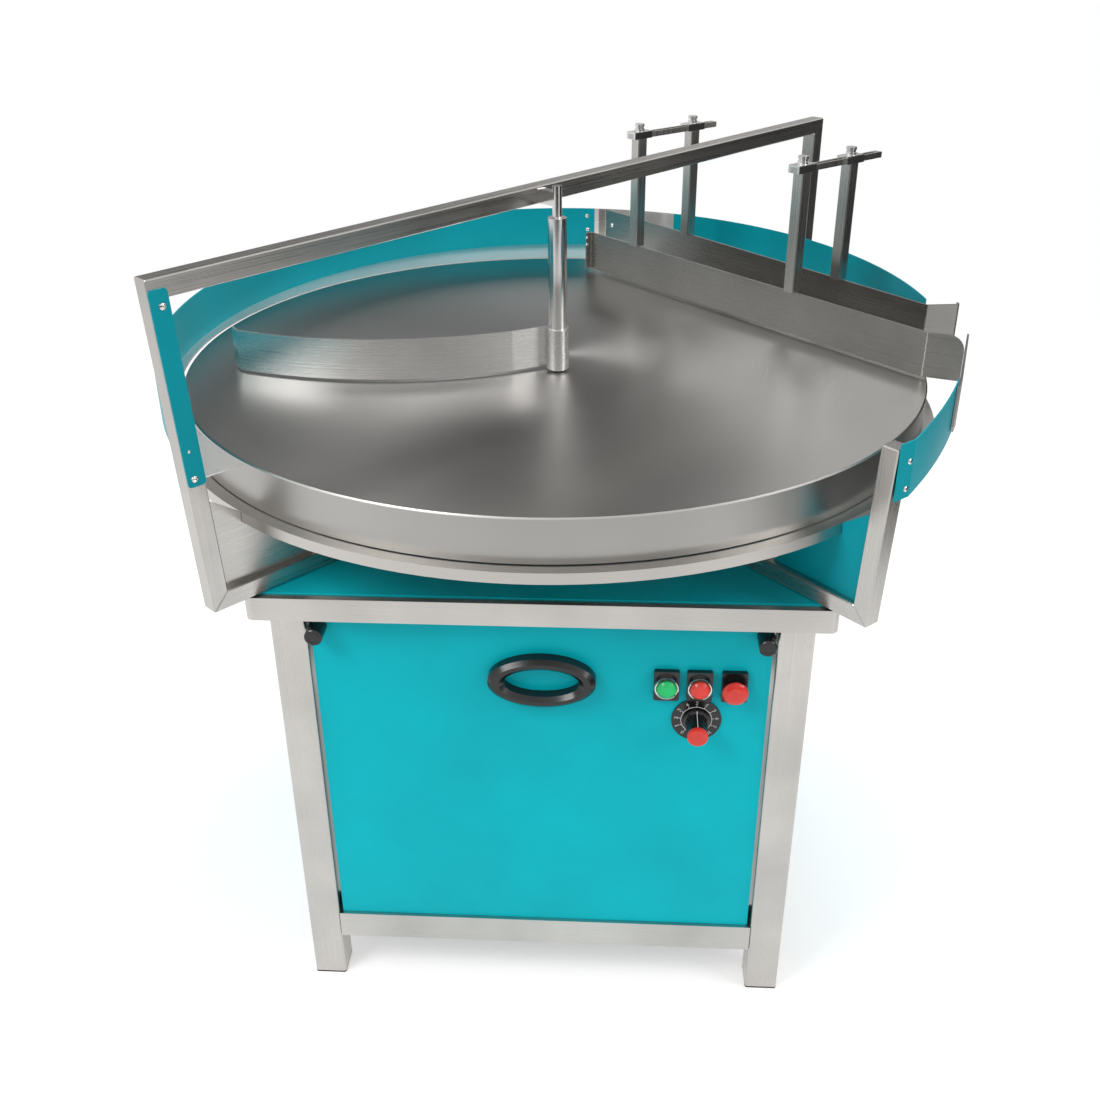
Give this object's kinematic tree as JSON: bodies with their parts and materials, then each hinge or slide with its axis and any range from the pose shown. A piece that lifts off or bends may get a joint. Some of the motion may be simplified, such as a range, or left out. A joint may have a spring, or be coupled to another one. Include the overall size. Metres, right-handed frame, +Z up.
{
  "type": "bottle unscrambler",
  "caption": "Rotary bottle unscrambler: a turntable on a cabinet stand with a guard wall, diverter, gantry, adjustable exit lane and control panel",
  "frame": {"origin": "on the floor under the turntable's axis, at the middle of the base's legs", "axes": "+Z up, -Y the control panel side, +X the exit side"},
  "size_m": [1.2207, 1.266, 1.202],
  "materials": {
    "stainless_steel": "brushed stainless steel",
    "polished_steel": "turned and polished stainless steel",
    "clamp_steel": "polished steel",
    "teal_paint": "powder coat, semi gloss",
    "teal_panel": "powder coat, semi gloss",
    "black_plastic": "moulded, glossy",
    "machined_steel": "turned steel",
    "cast_pedestal": "machined casting",
    "belt_rubber": "flat rubber belt",
    "motor_paint": "motor enamel",
    "box_paint": "light grey enamel",
    "dial_face": "printed dial face",
    "green_plastic": "moulded button",
    "red_plastic": "moulded button"
  },
  "bodies": {
    "base": {"back_panel": "teal_panel", "bottom_rail_front": "stainless_steel", "bottom_rail_left": "stainless_steel", "bottom_rail_rear": "stainless_steel", "bottom_rail_right": "stainless_steel", "bracket_arm_front_left": "stainless_steel", "bracket_arm_front_right": "stainless_steel", "bracket_arms_rear": "stainless_steel", "bracket_web_front_left": "stainless_steel", "bracket_web_front_right": "teal_paint", "bracket_webs_rear": "stainless_steel", "cable_gland": "black_plastic", "centre_rod": "polished_steel", "control_box": "box_paint", "dead_plate": "stainless_steel", "diverter_blade": "stainless_steel", "drive_belt": "belt_rubber", "foot_caps": "black_plastic", "front_clamps": "clamp_steel", "front_lane_posts": "stainless_steel", "front_lane_rail": "stainless_steel", "gantry_frame": "stainless_steel", "gearmotor": "motor_paint", "guard_front_right": "teal_paint", "guard_left": "teal_paint", "guard_rear_right": "teal_paint", "guard_spacers": "stainless_steel", "junction_plate": "stainless_steel", "left_side_panel": "teal_panel", "leg_front_left": "stainless_steel", "leg_front_right": "stainless_steel", "leg_rear_left": "stainless_steel", "leg_rear_right": "stainless_steel", "panel_lugs": "stainless_steel", "pedestal_housing": "cast_pedestal", "right_side_panel": "teal_panel", "support_ring": "stainless_steel", "top_frame": "stainless_steel", "top_plate": "teal_paint", "upright_front_right": "stainless_steel", "upright_rear_left": "stainless_steel", "upright_strip": "teal_paint", "width_bars": "stainless_steel"},
    "turntable_body": {"turntable": "stainless_steel", "spindle": "machined_steel", "driven_pulley": "cast_pedestal"},
    "motor_pulley_body": {"motor_pulley": "cast_pedestal"},
    "rear_lane": {"rear_lane_rail": "stainless_steel", "rear_lane_posts": "stainless_steel", "rear_clamps": "clamp_steel"},
    "front_door": {"front_panel": "teal_panel", "panel_handle": "black_plastic", "switch_blocks": "black_plastic", "dial_plate": "dial_face"},
    "left_knob": {"left_panel_knob": "black_plastic"},
    "right_knob": {"right_panel_knob": "black_plastic"},
    "start": {"start_button": "green_plastic"},
    "stop": {"stop_button": "red_plastic"},
    "emergency": {"emergency_button": "red_plastic"},
    "speed": {"speed_knob": "black_plastic"}
  },
  "joints": [
    {"name": "turntable_spin", "type": "hinge", "parent": "base", "child": "turntable_body", "pos_m": [0, 0, 0.9], "axis": [0, 0, 1], "continuous": true},
    {"name": "motor_pulley_spin", "type": "hinge", "parent": "base", "child": "motor_pulley_body", "pos_m": [-0.215, 0.06, 0.6], "axis": [0, 0, 1], "continuous": true},
    {"name": "rear_rail_slide", "type": "slide", "parent": "base", "child": "rear_lane", "axis": [-0.749, -0.6626, 0], "range_m": [0, 0.06]},
    {"name": "front_panel_slide", "type": "slide", "parent": "base", "child": "front_door", "axis": [0, -1, 0], "range_m": [0, 0.3]},
    {"name": "left_knob_turn", "type": "hinge", "parent": "front_door", "child": "left_knob", "pos_m": [-0.309, -0.419, 0.6675], "axis": [0, -1, 0], "range_deg": [0, 90]},
    {"name": "right_knob_turn", "type": "hinge", "parent": "front_door", "child": "right_knob", "pos_m": [0.309, -0.419, 0.6675], "axis": [0, -1, 0], "range_deg": [0, 90]},
    {"name": "start_press", "type": "slide", "parent": "front_door", "child": "start", "axis": [0, 1, 0], "range_m": [0, 0.005], "stiffness_N_per_m": 600},
    {"name": "stop_press", "type": "slide", "parent": "front_door", "child": "stop", "axis": [0, 1, 0], "range_m": [0, 0.005], "stiffness_N_per_m": 600},
    {"name": "emergency_press", "type": "slide", "parent": "front_door", "child": "emergency", "axis": [0, 1, 0], "range_m": [0, 0.004]},
    {"name": "speed_turn", "type": "hinge", "parent": "front_door", "child": "speed", "pos_m": [0.221, -0.419, 0.5255], "axis": [0, -1, 0], "range_deg": [-140, 140]}
  ],
  "couplings": [
    {"joint": "motor_pulley_spin", "follows": "turntable_spin", "ratio": 2.5}
  ]
}
